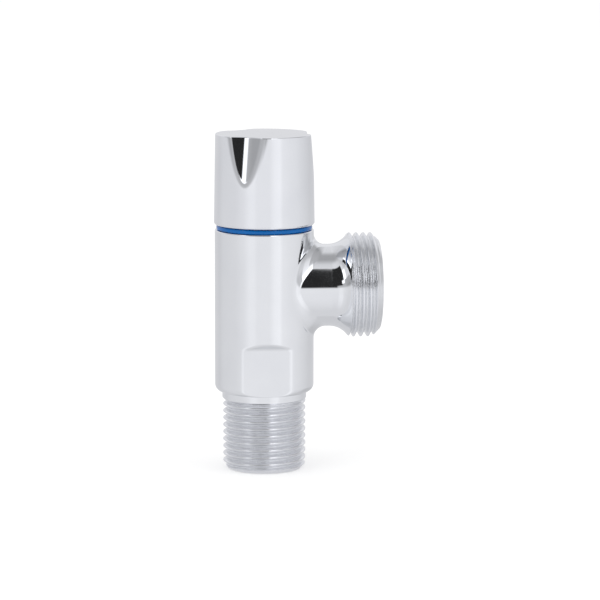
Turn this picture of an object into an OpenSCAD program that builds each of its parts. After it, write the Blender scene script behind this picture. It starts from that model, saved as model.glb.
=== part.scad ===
// Quarter-turn angle valve: male inlet thread below, male hose thread at the side, fluted knob on top.
// The knob turns a ceramic disc headwork by 90 degrees, anticlockwise to open.
// Origin: centre of the inlet end face. +Z runs up the inlet and knob axis, +X along the outlet.
// Sizes are in millimetres. Screw threads are plain cylinders at their major diameter.

/* [Inlet] */
// Major diameter of the inlet thread, G 1/2
inlet_d = 20.955; // [20.5:0.005:21.2]
// Length of the inlet thread from the end face
inlet_thread_len = 18; // [12:0.1:24]
// Chamfer at the start of the inlet thread
inlet_chamfer = 1.2; // [0.6:0.1:1.6]
// Diameter of the water way in the inlet
inlet_bore_d = 14; // [12.4:0.1:15]
// Height of the plain collar between the thread and the barrel
collar_h = 1.7; // [1:0.1:4]
// How far the collar stands proud of the thread crests
collar_step = 0.18; // [0.17:0.01:0.4]

/* [Barrel] */
// Wall of the barrel around the headwork thread
barrel_wall = 2.0225; // [1.82:0.0005:3]
// Height of the barrel
barrel_h = 41.2; // [40.4:0.1:44]
// Rounding of the barrel's lower edge
barrel_edge_r = 1.8; // [1:0.1:1.9]
// Rounding of the barrel's upper edge
barrel_top_r = 0.5; // [0.2:0.05:0.6]
// Width across the two spanner flats
flat_af = 21.8; // [21.4:0.1:23]
// Height of the spanner flats, to the top of their arch
flat_h = 13.6; // [9:0.1:15]
// Radius of the hollow in which each flat runs out
flat_run_r = 2; // [1.7:0.1:3]

/* [Outlet] */
// Height of the outlet axis above the inlet end face
outlet_z = 46.5; // [46:0.1:46.9]
// Major diameter of the outlet thread, G 3/4
outlet_d = 26.441; // [26:0.001:27]
// Distance of the outlet end face from the knob axis
outlet_reach = 29; // [28:0.1:36]
// Length of the outlet thread
outlet_thread_len = 8.1; // [7:0.1:9]
// Chamfer at the outlet end
outlet_chamfer = 1.9; // [1:0.1:2]
// Lead-in at the inner end of the outlet thread
outlet_lead = 0.52; // [0.3:0.01:0.8]
// Waist diameter of the branch
neck_d = 20.8; // [20:0.1:21.6]
// Hollow radius between the waist and the outlet thread
flare_r = 5.8; // [3:0.1:6]
// Fillet radius where the branch leaves the barrel, above and below
saddle_r = 2.9; // [1.4:0.1:3]
// Fillet radius at the two sides of the branch
saddle_side_r = 5.5; // [3:0.1:9]
// Diameter of the water way through the waist
outlet_bore_d = 14.4; // [12:0.1:14.6]
// Diameter of the outlet mouth
outlet_mouth_d = 18.4; // [16:0.1:20]
// Depth of the outlet mouth
outlet_mouth_h = 8; // [5:0.1:9]

/* [Seat and chamber] */
// Height of the seat below the outlet axis
seat_drop = 11.5; // [11.4:0.1:12.5]
// Diameter of the hole through the seat
throat_d = 11.6; // [10.6:0.1:12]
// Height of the narrow throat under the seat
throat_h = 3; // [2:0.1:5]
// How much smaller the chamber's radius is than that of the headwork thread
chamber_step = 0.2775; // [0.18:0.0005:0.75]
// Height of the chamber above the outlet axis
chamber_up = 7.4; // [7.3:0.1:7.6]
// Height of the guide bore above the seat
guide_h = 2.2; // [1:0.1:3]
// How much larger the radius of the O-ring's recess is than that of the headwork thread
mouth_step = 0.7225; // [0.62:0.0005:0.92]
// Depth of the recess for the headwork O-ring
mouth_h = 1.5; // [1.3:0.05:1.7]

/* [Headwork housing] */
// Major diameter of the headwork thread
headwork_d = 20.955; // [20.4:0.005:21]
// Outside diameter of the skirt
skirt_d = 18.2; // [17.8:0.1:18.6]
// Diameter of the pocket for the discs
pocket_d = 15.8; // [15.4:0.1:16.2]
// Height of the side windows
window_h = 6.4; // [5:0.1:6.6]
// Width of the side windows
window_w = 13; // [10:0.1:13.5]
// Corner radius of the side windows
window_r = 1.2; // [0.5:0.1:2]
// How much smaller the radius of the neck under the flange is than that of the thread
neck_under_step = 0.7275; // [0.58:0.0005:0.98]
// How much larger the flange's radius is than that of the thread
flange_step = 0.6725; // [0.52:0.0005:0.72]
// Thickness of the flange
flange_h = 1.2; // [0.8:0.1:1.6]
// Width across the flats of the hexagon
hex_af = 17; // [15:0.1:18]
// Height of the hexagon
hex_h = 3.9; // [3:0.1:4.4]
// Diameter of the tower above the hexagon
tower_d = 13.2; // [13:0.1:14]
// Height of the tower above the hexagon
tower_h = 1; // [0.6:0.1:1.4]

/* [Spindle] */
// Diameter of the stem in the housing
stem_d = 9; // [8.8:0.1:9.6]
// Diameter of the shaft between the disc and the flange
shaft_d = 6.8; // [5:0.1:7.4]
// Thickness of the spindle's flange
spindle_flange_h = 1.6; // [1.2:0.1:2]
// Width of the driving tongue
tongue_w = 3; // [2.4:0.1:3.4]
// Length of the driving tongue
tongue_len = 11; // [9:0.1:12.6]
// Depth to which the tongue enters the rotating disc
tongue_depth = 1.3; // [0.8:0.1:1.6]
// Height of the tongue above the rotating disc
tongue_up = 2; // [1:0.1:3]
// Outside diameter of the splines
spline_d = 7.9; // [7.6:0.1:8.2]
// Depth of the splines
spline_depth = 0.35; // [0.25:0.05:0.5]
// Share of the spline pitch taken up by a tooth at its tip
spline_tip_share = 0.32; // [0.25:0.01:0.4]
// Share of the spline pitch taken up by a tooth at its root
spline_root_share = 0.68; // [0.5:0.01:0.8]
// Number of splines
spline_count = 20; // [16:1:24]
// Length of the splines above the tower
spline_len = 11.8; // [10.6:0.1:12]
// Diameter of the wire of the spindle O-rings
stem_ring_wire = 1.2; // [1:0.1:1.4]
// Height of the lower O-ring above the washer
stem_ring_low = 3.6; // [2.4:0.1:4]
// Distance between the two O-rings
stem_ring_pitch = 5; // [3:0.1:6]
// Thickness of the slip washer
washer_h = 0.8; // [0.5:0.1:1]

/* [Stop ring and clip] */
// Turn of the knob between its two stops, in degrees
travel = 90; // [60:1:100]
// Width of the stop tab, in degrees
tab_angle = 30; // [20:1:40]
// Slack left at each stop, in degrees
stop_slack = 0.5; // [0.2:0.1:2]
// Thickness of the stop ring
stop_ring_h = 1.3; // [0.8:0.1:1.5]
// Diameter of the stop ring's hub
stop_hub_d = 10; // [9.6:0.1:10.2]
// Thickness of the clip
clip_h = 0.7; // [0.5:0.05:0.8]
// Outside diameter of the clip
clip_d = 10; // [9.2:0.1:11]
// Depth of the clip groove below the spline roots
clip_groove = 0.35; // [0.2:0.05:0.6]

/* [Discs and seals] */
// Diameter of the fixed disc
fixed_disc_d = 15.5; // [15:0.1:15.6]
// Diameter of the rotating disc
turning_disc_d = 15.2; // [14:0.1:15.4]
// Thickness of each ceramic disc
disc_h = 3; // [2.6:0.1:3.2]
// Inner radius of the disc ports
port_in_r = 1.7; // [1.6:0.1:2]
// Outer radius of the disc ports
port_out_r = 5.4; // [4.4:0.1:5.6]
// Width of each port, in degrees
port_angle = 76; // [60:1:80]
// Width of the fixed disc's two lugs
lug_w = 3; // [2:0.1:4]
// How far each lug reaches beyond the disc
lug_reach = 1; // [0.6:0.1:1.2]
// Height of the seat seal
seal_h = 2.6; // [2.2:0.1:2.8]
// Wall of the seat seal
seal_wall = 1.4; // [1:0.1:1.6]
// Wall of the support ring inside the seat seal
support_wall = 0.8; // [0.6:0.1:1]

/* [Indicator ring] */
// How far the coloured ring stays inside the outline of the barrel
ring_inset = 0.4; // [0.2:0.05:0.6]
// Thickness of the coloured ring
ring_h = 1.2; // [1:0.1:1.6]

/* [Knob] */
// How far the knob's lower edge stands out over the barrel
knob_over = 0.2; // [0:0.05:0.9]
// How much smaller the knob's radius is at its top
knob_taper = 0.35; // [0.15:0.05:0.7]
// Height of the knob
knob_h = 22.9; // [22.2:0.1:25]
// Rounding of the knob's lower edge
knob_low_r = 0.6; // [0.3:0.05:0.8]
// Rounding of the knob's top edge
knob_top_r = 0.5; // [0.3:0.05:0.8]
// Wall of the knob's skirt
knob_skirt = 1.05; // [0.9:0.05:1.1]
// Height of the wide skirt space
skirt_space_h = 10.2; // [9.2:0.1:10.6]
// Diameter of the upper hollow
hollow_d = 19.2; // [18:0.1:19.6]
// Thickness of the knob's top
knob_roof = 3; // [2.4:0.1:3.4]
// Number of finger flutes
flute_count = 3; // [2:1:6]
// Depth of each flute at the top
flute_depth = 1.9; // [1:0.1:1.9]
// How far the flutes are turned from the outlet's direction
flute_turn = 1.8; // [-15:0.1:15]
// Length of each flute down the side
flute_len = 12; // [8:0.1:12.6]
// Radius of each flute
flute_r = 8.7; // [5:0.1:12]
// Outside diameter of the boss
boss_d = 15.2; // [15:0.1:15.8]
// Thickness of the ribs between boss and wall
rib_t = 1.2; // [0.8:0.1:2]

/* [Spline insert] */
// Outside diameter of the insert
insert_d = 11.2; // [10.9:0.1:11.8]
// Diameter of the insert's slotted fingers
finger_d = 9.9; // [9.6:0.1:10.2]
// Length of the slotted fingers
finger_len = 3; // [2.4:0.1:3.6]
// Width of the slots between the fingers
finger_slot = 0.8; // [0.5:0.1:1.2]
// Width of the insert's two keys
key_w = 1.8; // [1.2:0.1:2.4]
// How far the keys stand proud
key_h = 0.8; // [0.5:0.1:0.9]
// Thickness of the grip ring's wire
grip_t = 0.9; // [0.7:0.05:1]
// Height of the grip ring
grip_h = 1.4; // [1:0.1:1.8]

/* [Fits] */
// Running clearance of the stem in the housing
stem_clear = 0.04; // [0.02:0.01:0.08]
// Gap between the knob and the coloured ring
knob_gap = 0.1; // [0.08:0.01:0.3]
// Radial clearance between pieces that are pushed together
push_clear = 0.02; // [0.01:0.01:0.04]
// Loose clearance of pieces that only guide each other
guide_clear = 0.1; // [0.05:0.01:0.15]
// Radial clearance of the headwork thread
thread_clear = 0.03; // [0.01:0.01:0.05]
// Gap between the housing's skirt and the seat, and between the discs and the windows
skirt_gap = 0.3; // [0.2:0.05:0.5]
// Gap around the spindle's flange, and between it and the windows
flange_gap = 0.6; // [0.4:0.05:0.8]
// Gap beside the slip washer's hole and beside the stop ring's hub
hub_gap = 0.2; // [0.1:0.05:0.3]
// Gap between the clip and the spline insert
insert_gap = 1; // [0.6:0.1:1.2]
// Gap around the grip ring
grip_gap = 0.4; // [0.2:0.05:0.6]

/* [Hidden] */
$fn = 96;
// Overshoot of cuts
past = 1;

inlet_r = inlet_d / 2;
collar_r = inlet_r + collar_step;
barrel_r = headwork_d / 2 + barrel_wall;
barrel_z = inlet_thread_len + collar_h;
barrel_top = barrel_z + barrel_h;
flat_half = flat_af / 2;

outlet_r = outlet_d / 2;
outlet_start = outlet_reach - outlet_thread_len;
neck_r = neck_d / 2;
flare_top = outlet_r - outlet_lead;
flare_rise = flare_top - neck_r;
flare_start = outlet_start - sqrt(pow(flare_r, 2) - pow(flare_r - flare_rise, 2));

seat_z = outlet_z - seat_drop;
chamber_z = seat_z + guide_h;
chamber_top = outlet_z + chamber_up;
chamber_r = headwork_d / 2 - chamber_step;
mouth_z = barrel_top - mouth_h;
mouth_r = headwork_d / 2 + mouth_step;

// The stack of discs stands on the seat
fixed_disc_z = seat_z + seal_h;
turning_disc_z = fixed_disc_z + disc_h;
disc_top = turning_disc_z + disc_h;
window_z = disc_top + skirt_gap;
window_top = window_z + window_h;
spindle_flange_z = window_top + flange_gap;
washer_z = spindle_flange_z + spindle_flange_h;
pocket_top = washer_z + washer_h;

// The housing hangs from its flange, which lies on the coloured ring
ring_top = barrel_top + ring_h;
flange_top = ring_top + flange_h;
hex_top = flange_top + hex_h;
tower_top = hex_top + tower_h;
skirt_z = seat_z + skirt_gap;
headwork_r = headwork_d / 2 - thread_clear;
neck_under_r = headwork_d / 2 - neck_under_step;
flange_r = headwork_d / 2 + flange_step;
tower_r = tower_d / 2;

stem_r = stem_d / 2;
stem_ring_r = stem_ring_wire / 2;
stem_groove_r = stem_r - stem_ring_wire + push_clear;
spline_r = spline_d / 2;
spline_root_r = spline_r - spline_depth;
spline_top = tower_top + spline_len;

stop_ring_z = tower_top + guide_clear;
stop_ring_top = stop_ring_z + stop_ring_h;
tab_start = -travel / 2 - tab_angle / 2;
open_half = travel / 2 + tab_angle / 2 + stop_slack;
clip_z = stop_ring_top + guide_clear;
clip_top = clip_z + clip_h;
clip_r = spline_root_r - clip_groove;

knob_z = ring_top + knob_gap;
knob_top = knob_z + knob_h;
knob_low = barrel_r + knob_over;
knob_high = knob_low - knob_taper;
knob_draft = atan((knob_low - knob_high) / knob_h);
skirt_space_top = knob_z + skirt_space_h;
hollow_top = knob_top - knob_roof;
insert_z = clip_top + insert_gap;
boss_z = insert_z - hub_gap;
finger_top = insert_z + finger_len;
insert_top = hollow_top;
insert_r = insert_d / 2;
finger_r = finger_d / 2;
boss_r = boss_d / 2;
grip_z = insert_z + (finger_len - grip_h) / 2;

// A hollow cylinder between two heights
module tube(outer_r, inner_r, low, high) {
    translate([0, 0, low])
    difference() {
        cylinder(r = outer_r, h = high - low);
        translate([0, 0, -past])
            cylinder(r = inner_r, h = high - low + 2 * past);
    }
}

// A round bar between two heights
module bar(r, low, high) {
    translate([0, 0, low])
        cylinder(r = r, h = high - low);
}

// An arc of a ring between two heights
module ring_arc(outer_r, inner_r, low, high, from, sweep) {
    translate([0, 0, low])
    rotate_extrude(angle = sweep, start = from)
        translate([inner_r, 0])
            square([outer_r - inner_r, high - low]);
}

// An O-ring that lies around the axis
module o_ring(wire_r, mid_r, z) {
    translate([0, 0, z])
    rotate_extrude()
        translate([mid_r, 0])
            circle(wire_r, $fn = 48);
}

// Turns a shape built up the Z axis so that it points along +X
module along_outlet() {
    translate([0, 0, outlet_z])
    rotate([0, 90, 0])
        children();
}

// A rectangle with four round corners, centred
module round_rectangle(width, height, r) {
    square([width - 2 * r, height], center = true);
    square([width, height - 2 * r], center = true);
    for (x = [-1, 1], y = [-1, 1])
        translate([x * (width / 2 - r), y * (height / 2 - r)])
            circle(r);
}

// A toothed outline: the spindle's splines, grown by a clearance for the pieces around them
function spline_points(grow) = [
    for (i = [0 : spline_count - 1], corner = [0 : 3])
        let (
            pitch = 360 / spline_count,
            root = spline_root_share / 2,
            tip = spline_tip_share / 2,
            share = [-root, -tip, tip, root][corner],
            r = (corner == 0 || corner == 3) ? spline_root_r : spline_r
        )
        (r + grow) * [cos((i + share) * pitch), sin((i + share) * pitch)]
];

module splines(grow, low, high) {
    translate([0, 0, low])
    linear_extrude(height = high - low)
        polygon(spline_points(grow));
}

// Barrel, collar and inlet thread as one turned outline
module barrel_outline() {
    polygon([
        [0, 0],
        [inlet_r - inlet_chamfer, 0],
        [inlet_r, inlet_chamfer],
        [inlet_r, inlet_thread_len],
        [0, inlet_thread_len]
    ]);
    translate([0, inlet_thread_len])
        square([collar_r, collar_h]);
    translate([0, barrel_z])
        square([barrel_r - barrel_edge_r, barrel_h]);
    translate([0, barrel_z + barrel_edge_r])
        square([barrel_r, barrel_h - barrel_edge_r - barrel_top_r]);
    translate([0, barrel_top - barrel_top_r])
        square([barrel_r - barrel_top_r, barrel_top_r]);
    translate([barrel_r - barrel_edge_r, barrel_z + barrel_edge_r])
        circle(barrel_edge_r);
    translate([barrel_r - barrel_top_r, barrel_top - barrel_top_r])
        circle(barrel_top_r);
}

// Waist, flare and outlet thread as one turned outline, read along the outlet axis
module branch_outline() {
    square([neck_r, outlet_start]);
    difference() {
        translate([0, flare_start])
            square([flare_top, outlet_start - flare_start]);
        translate([neck_r + flare_r, flare_start])
            circle(flare_r);
    }
    polygon([
        [0, outlet_start],
        [flare_top, outlet_start],
        [outlet_r, outlet_start + outlet_lead],
        [outlet_r, outlet_reach - outlet_chamfer],
        [outlet_r - outlet_chamfer, outlet_reach],
        [0, outlet_reach]
    ]);
}

// The saddle fillet follows a ball that rolls around the joint of barrel and branch.
// The ball grows from saddle_r above and below the branch to saddle_side_r at its sides.
// At each turn around the branch its section is an arc from the waist to the barrel.
saddle_turns = 48;
saddle_arcs = 6;
saddle_sink = 0.04;
saddle_root = 1.2;

function ball_r(turn) = saddle_r + (saddle_side_r - saddle_r) * pow(sin(turn), 2);

function ball_centre(turn) =
    let (y = (neck_r + ball_r(turn)) * sin(turn))
    [sqrt(pow(barrel_r + ball_r(turn), 2) - pow(y, 2)), y, (neck_r + ball_r(turn)) * cos(turn)];

function towards_neck(turn) = [0, -sin(turn), -cos(turn)];

function towards_barrel(turn) =
    let (centre = ball_centre(turn))
    [-centre[0], -centre[1], 0] / (barrel_r + ball_r(turn));

function arc_point(turn, share) =
    let (
        a = towards_neck(turn),
        b = towards_barrel(turn),
        spread = acos(a * b),
        way = (sin((1 - share) * spread) * a + sin(share * spread) * b) / sin(spread)
    )
    ball_centre(turn) + ball_r(turn) * way;

function saddle_section(turn) = concat(
    [arc_point(turn, 0) + saddle_sink * towards_neck(turn)],
    [for (i = [1 : saddle_arcs - 1]) arc_point(turn, i / saddle_arcs)],
    [arc_point(turn, 1) + saddle_sink * towards_barrel(turn)],
    [arc_point(turn, 0.5) + saddle_root * (towards_neck(turn) + towards_barrel(turn))]
);

module saddle_fillet() {
    per_ring = saddle_arcs + 2;
    points = [
        for (i = [0 : saddle_turns - 1])
            each saddle_section(360 * (i + 0.5) / saddle_turns)
    ];
    faces = [
        for (i = [0 : saddle_turns - 1], j = [0 : per_ring - 1])
            let (
                next = (i + 1) % saddle_turns,
                up = (j + 1) % per_ring,
                p = i * per_ring + j,
                q = next * per_ring + j,
                r = next * per_ring + up,
                s = i * per_ring + up
            )
            each [[p, r, q], [p, s, r]]
    ];
    translate([0, 0, outlet_z])
        polyhedron(points = points, faces = faces);
}

// Takes one spanner flat off the barrel, with a hollow run-out at its top
module flat_cut() {
    reach = barrel_r - flat_half + past;
    translate([-barrel_r, 0, barrel_z])
    rotate([90, 0, 90])
    linear_extrude(height = 2 * barrel_r)
    translate([flat_half, 0]) {
        translate([0, -past])
            square([reach, flat_h - flat_run_r + past]);
        translate([flat_run_r, 0])
            square([reach, flat_h]);
        translate([flat_run_r, flat_h - flat_run_r])
            circle(flat_run_r);
    }
}

// All water ways and seats inside the body
module body_ways() {
    bar(inlet_bore_d / 2, -past, seat_z - throat_h);
    bar(throat_d / 2, -past, seat_z + past);
    bar(skirt_d / 2 + guide_clear, seat_z, chamber_z + past);
    bar(chamber_r, chamber_z, chamber_top);
    bar(headwork_d / 2, chamber_top - past, barrel_top);
    bar(mouth_r, mouth_z, barrel_top + past);
    along_outlet() {
        bar(outlet_bore_d / 2, 0, outlet_reach + past);
        bar(outlet_mouth_d / 2, outlet_reach - outlet_mouth_h, outlet_reach + past);
    }
}

module valve_body() {
    color("gainsboro")
    difference() {
        union() {
            difference() {
                rotate_extrude()
                    barrel_outline();
                flat_cut();
                rotate([0, 0, 180])
                    flat_cut();
            }
            along_outlet()
                rotate_extrude()
                    branch_outline();
            saddle_fillet();
        }
        body_ways();
    }
}

module headwork_housing() {
    color("goldenrod")
    difference() {
        union() {
            bar(skirt_d / 2, skirt_z, chamber_top + past);
            bar(headwork_r, chamber_top + push_clear, mouth_z);
            bar(neck_under_r, mouth_z - past, ring_top + past);
            bar(flange_r, ring_top, flange_top);
            translate([0, 0, flange_top])
                cylinder(r = hex_af / 2 / cos(30), h = hex_h, $fn = 6);
            bar(tower_r, hex_top - past, tower_top);
            ring_arc(tower_r, stop_hub_d / 2 + hub_gap, tower_top - past, stop_ring_top,
                open_half, 360 - 2 * open_half);
        }
        bar(pocket_d / 2, skirt_z - past, pocket_top);
        bar(stem_r + stem_clear, pocket_top - past, tower_top + past);
        translate([-skirt_d, 0, (window_z + window_top) / 2])
        rotate([90, 0, 90])
        linear_extrude(height = 2 * skirt_d)
            round_rectangle(window_w, window_h, window_r);
        for (side = [-1, 1])
            translate([-lug_w / 2 - guide_clear, side * skirt_d / 2 - skirt_d / 4, skirt_z - past])
                cube([lug_w + 2 * guide_clear, skirt_d / 2, turning_disc_z - skirt_z + past]);
    }
}

module housing_o_ring() {
    wire_r = (mouth_r - neck_under_r - push_clear) / 2;
    color("dimgray")
        o_ring(wire_r, (mouth_r + neck_under_r) / 2, mouth_z + wire_r);
}

module indicator_ring() {
    color("royalblue")
        tube(barrel_r - ring_inset, headwork_d / 2 + push_clear, barrel_top, ring_top);
}

// Stem of the spindle as one turned outline, with a groove for each O-ring
module stem_outline() {
    difference() {
        translate([0, washer_z])
            square([stem_r, tower_top - washer_z]);
        for (z = [stem_ring_low, stem_ring_low + stem_ring_pitch])
            translate([stem_groove_r, pocket_top + z - stem_ring_r - guide_clear])
                square([stem_r, stem_ring_wire + 2 * guide_clear]);
    }
}

module spindle() {
    color("peru")
    difference() {
        union() {
            translate([-tongue_len / 2, -tongue_w / 2, disc_top - tongue_depth])
                cube([tongue_len, tongue_w, tongue_depth + tongue_up]);
            bar(shaft_d / 2, disc_top + guide_clear, spindle_flange_z + past);
            bar(pocket_d / 2 - flange_gap, spindle_flange_z, washer_z);
            rotate_extrude()
                stem_outline();
            splines(0, tower_top - past, spline_top);
        }
        tube(spline_d, clip_r, clip_z - guide_clear / 2, clip_top + guide_clear / 2);
    }
}

module spindle_o_ring_lower() {
    color("black")
        o_ring(stem_ring_r, stem_groove_r + stem_ring_r, pocket_top + stem_ring_low);
}

module spindle_o_ring_upper() {
    color("black")
        o_ring(stem_ring_r, stem_groove_r + stem_ring_r, pocket_top + stem_ring_low + stem_ring_pitch);
}

module slip_washer() {
    color("white")
        tube(pocket_d / 2 - flange_gap, stem_r + hub_gap,
            washer_z + guide_clear / 2, pocket_top - guide_clear / 2);
}

module stop_ring() {
    color("silver")
    difference() {
        union() {
            bar(stop_hub_d / 2, stop_ring_z, stop_ring_top);
            ring_arc(tower_r, stop_hub_d / 2 - past, stop_ring_z, stop_ring_top, tab_start, tab_angle);
        }
        splines(push_clear, stop_ring_z - past, stop_ring_top + past);
    }
}

module spindle_clip() {
    color("silver")
    difference() {
        tube(clip_d / 2, clip_r + push_clear, clip_z, clip_top);
        translate([0, -clip_r, clip_z - past])
            cube([clip_d, 2 * clip_r, clip_h + 2 * past]);
    }
}

// Two opposite ports of a disc, centred on the given direction
module ports(low, high, towards) {
    for (side = [0, 180])
        ring_arc(port_out_r, port_in_r, low, high, towards + side - port_angle / 2, port_angle);
}

module rotating_disc() {
    color("ivory")
    difference() {
        bar(turning_disc_d / 2, turning_disc_z, disc_top);
        ports(turning_disc_z - past, disc_top + past, 90);
        translate([-tongue_len / 2 - guide_clear, -tongue_w / 2 - push_clear,
                disc_top - tongue_depth - push_clear])
            cube([tongue_len + 2 * guide_clear, tongue_w + 2 * push_clear, tongue_depth + past]);
    }
}

module fixed_disc() {
    color("snow")
    difference() {
        union() {
            bar(fixed_disc_d / 2, fixed_disc_z, turning_disc_z);
            translate([-lug_w / 2, -fixed_disc_d / 2 - lug_reach, fixed_disc_z])
                cube([lug_w, fixed_disc_d + 2 * lug_reach, disc_h]);
        }
        ports(fixed_disc_z - past, turning_disc_z + past, 0);
    }
}

module seat_seal() {
    color("black")
        tube(fixed_disc_d / 2, fixed_disc_d / 2 - seal_wall, seat_z, fixed_disc_z);
}

module seal_support_ring() {
    outer_r = fixed_disc_d / 2 - seal_wall - push_clear;
    color("whitesmoke")
        tube(outer_r, outer_r - support_wall, seat_z + guide_clear, fixed_disc_z - guide_clear);
}

// Where a circle of radius r touches both the knob's side and a level line
function wall_r(z) = knob_high + (knob_top - z) * tan(knob_draft);
function top_centre() = [
    wall_r(knob_top - knob_top_r) - knob_top_r / cos(knob_draft),
    knob_top - knob_top_r
];
function low_centre() = [
    wall_r(knob_z + knob_low_r) - knob_low_r / cos(knob_draft),
    knob_z + knob_low_r
];
function side_point(centre, r) = centre + r * [cos(knob_draft), sin(knob_draft)];

// Side of the knob as one turned outline, with both edges rounded
module knob_outline() {
    polygon([
        [0, knob_z],
        [low_centre()[0], knob_z],
        side_point(low_centre(), knob_low_r),
        side_point(top_centre(), knob_top_r),
        [top_centre()[0], knob_top],
        [0, knob_top]
    ]);
    translate(low_centre())
        circle(knob_low_r);
    translate(top_centre())
        circle(knob_top_r);
}

// One finger flute: a round bar that leans in over the top edge
module flute_cut() {
    floor_top = knob_high - flute_depth;
    floor_low = wall_r(knob_top - flute_len);
    lean = atan((floor_low - floor_top) / flute_len);
    translate([floor_top, 0, knob_top])
    rotate([0, -lean, 0])
    translate([flute_r, 0, -2 * flute_len])
        cylinder(r = flute_r, h = 3 * flute_len);
}

module knob() {
    color("gainsboro")
    difference() {
        rotate_extrude()
            knob_outline();
        for (i = [0 : flute_count - 1])
            rotate([0, 0, flute_turn + i * 360 / flute_count])
                flute_cut();
        bar(knob_low - knob_skirt, knob_z - past, skirt_space_top);
        difference() {
            bar(hollow_d / 2, skirt_space_top - past, hollow_top);
            bar(boss_r, boss_z, hollow_top + past);
            for (i = [0 : flute_count - 1])
                rotate([0, 0, flute_turn + (i + 0.5) * 360 / flute_count])
                translate([0, -rib_t / 2, skirt_space_top + past])
                    cube([hollow_d, rib_t, knob_h]);
        }
        bar(insert_r + push_clear, finger_top, hollow_top);
        bar(finger_r + grip_t + grip_gap, boss_z - past, finger_top);
        translate([-insert_r - key_h - push_clear, -key_w / 2 - push_clear, finger_top])
            cube([2 * (insert_r + key_h + push_clear), key_w + 2 * push_clear, hollow_top - finger_top]);
    }
}

module spline_insert() {
    color("whitesmoke")
    difference() {
        union() {
            bar(finger_r, insert_z, finger_top + past);
            bar(insert_r, finger_top, insert_top);
            translate([-insert_r - key_h, -key_w / 2, finger_top])
                cube([2 * (insert_r + key_h), key_w, insert_top - finger_top]);
        }
        splines(push_clear, insert_z - past, spline_top + guide_clear);
        for (turn = [45, 135])
            rotate([0, 0, turn])
            translate([-insert_d, -finger_slot / 2, insert_z - past])
                cube([2 * insert_d, finger_slot, finger_len + past - guide_clear]);
    }
}

module grip_ring() {
    color("silver")
    difference() {
        tube(finger_r + push_clear + grip_t, finger_r + push_clear, grip_z, grip_z + grip_h);
        translate([0, -finger_slot, grip_z - past])
            cube([insert_d, 2 * finger_slot, grip_h + 2 * past]);
    }
}

valve_body();
headwork_housing();
housing_o_ring();
indicator_ring();
spindle();
spindle_o_ring_lower();
spindle_o_ring_upper();
slip_washer();
stop_ring();
spindle_clip();
rotating_disc();
fixed_disc();
seat_seal();
seal_support_ring();
knob();
spline_insert();
grip_ring();
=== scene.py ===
import math
import bpy
import numpy as np
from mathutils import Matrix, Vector
from mathutils.geometry import delaunay_2d_cdt


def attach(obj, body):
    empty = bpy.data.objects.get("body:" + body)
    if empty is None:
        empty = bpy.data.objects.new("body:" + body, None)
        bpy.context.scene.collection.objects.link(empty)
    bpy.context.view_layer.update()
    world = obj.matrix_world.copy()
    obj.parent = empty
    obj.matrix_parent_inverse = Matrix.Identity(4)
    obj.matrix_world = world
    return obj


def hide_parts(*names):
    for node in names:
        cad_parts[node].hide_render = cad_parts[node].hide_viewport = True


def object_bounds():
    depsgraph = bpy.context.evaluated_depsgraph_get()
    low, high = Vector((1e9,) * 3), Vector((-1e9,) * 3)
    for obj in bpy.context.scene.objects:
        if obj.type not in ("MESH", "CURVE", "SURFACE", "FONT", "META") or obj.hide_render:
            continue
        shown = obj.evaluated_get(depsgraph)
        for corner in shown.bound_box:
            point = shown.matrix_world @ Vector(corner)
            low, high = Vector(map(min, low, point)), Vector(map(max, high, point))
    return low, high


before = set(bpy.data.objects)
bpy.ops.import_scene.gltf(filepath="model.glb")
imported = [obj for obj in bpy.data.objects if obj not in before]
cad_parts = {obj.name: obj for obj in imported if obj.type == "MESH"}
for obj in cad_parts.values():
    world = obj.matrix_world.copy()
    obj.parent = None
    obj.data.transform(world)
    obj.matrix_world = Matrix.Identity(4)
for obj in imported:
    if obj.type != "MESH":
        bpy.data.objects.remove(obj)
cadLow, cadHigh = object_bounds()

print("frame loaded")

# shapes are worked out in millimetres and degrees, and made in metres
metre = 1000
thread = {"pitch": 1.814, "depth": 1.162, "round": 0.249, "flank": 27.5}
# smaller than this counts as nothing; step is the distance over which a surface's slope is taken
tiny = {"step": 1e-4, "normal": 1e-13, "length": 1e-6, "rise": 1e-12, "cut": 1e-7}


def sinDeg(a):
    return np.sin(np.radians(a))


def cosDeg(a):
    return np.cos(np.radians(a))


def softMin(a, b, k):
    # the lower of two values, blended where they differ by less than k
    return np.minimum(a, b) - np.maximum(k - np.abs(a - b), 0) ** 2 / (4 * k)


def softMax(a, b, k):
    return -softMin(-a, -b, k)


def threadDip(turnsFromCrest):
    # how far the surface lies below the crest: round crest, straight flank, round root
    p, r = thread["pitch"], thread["round"]
    edge = r * cosDeg(thread["flank"])
    drop = r * (1 - sinDeg(thread["flank"]))
    away = np.abs((turnsFromCrest + 0.5) % 1 - 0.5) * p
    slope = (thread["depth"] - 2 * drop) / (p / 2 - 2 * edge)
    crest = r - np.sqrt(np.maximum(r * r - away ** 2, 0))
    root = thread["depth"] - r + np.sqrt(np.maximum(r * r - (p / 2 - away) ** 2, 0))
    flank = drop + (away - edge) * slope
    return np.where(away < edge, crest, np.where(away > p / 2 - edge, root, flank))


def fadeIn(x, length):
    # rises gently from 0 to 1 over the length
    t = np.clip(x / length, 0, 1)
    return t * t * (3 - 2 * t)


# a skin is a list of faces with the true surface normal at every corner and a finish number
def addFaces(skin, points, normals, coat=0):
    skin.append((points, normals, coat))


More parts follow.
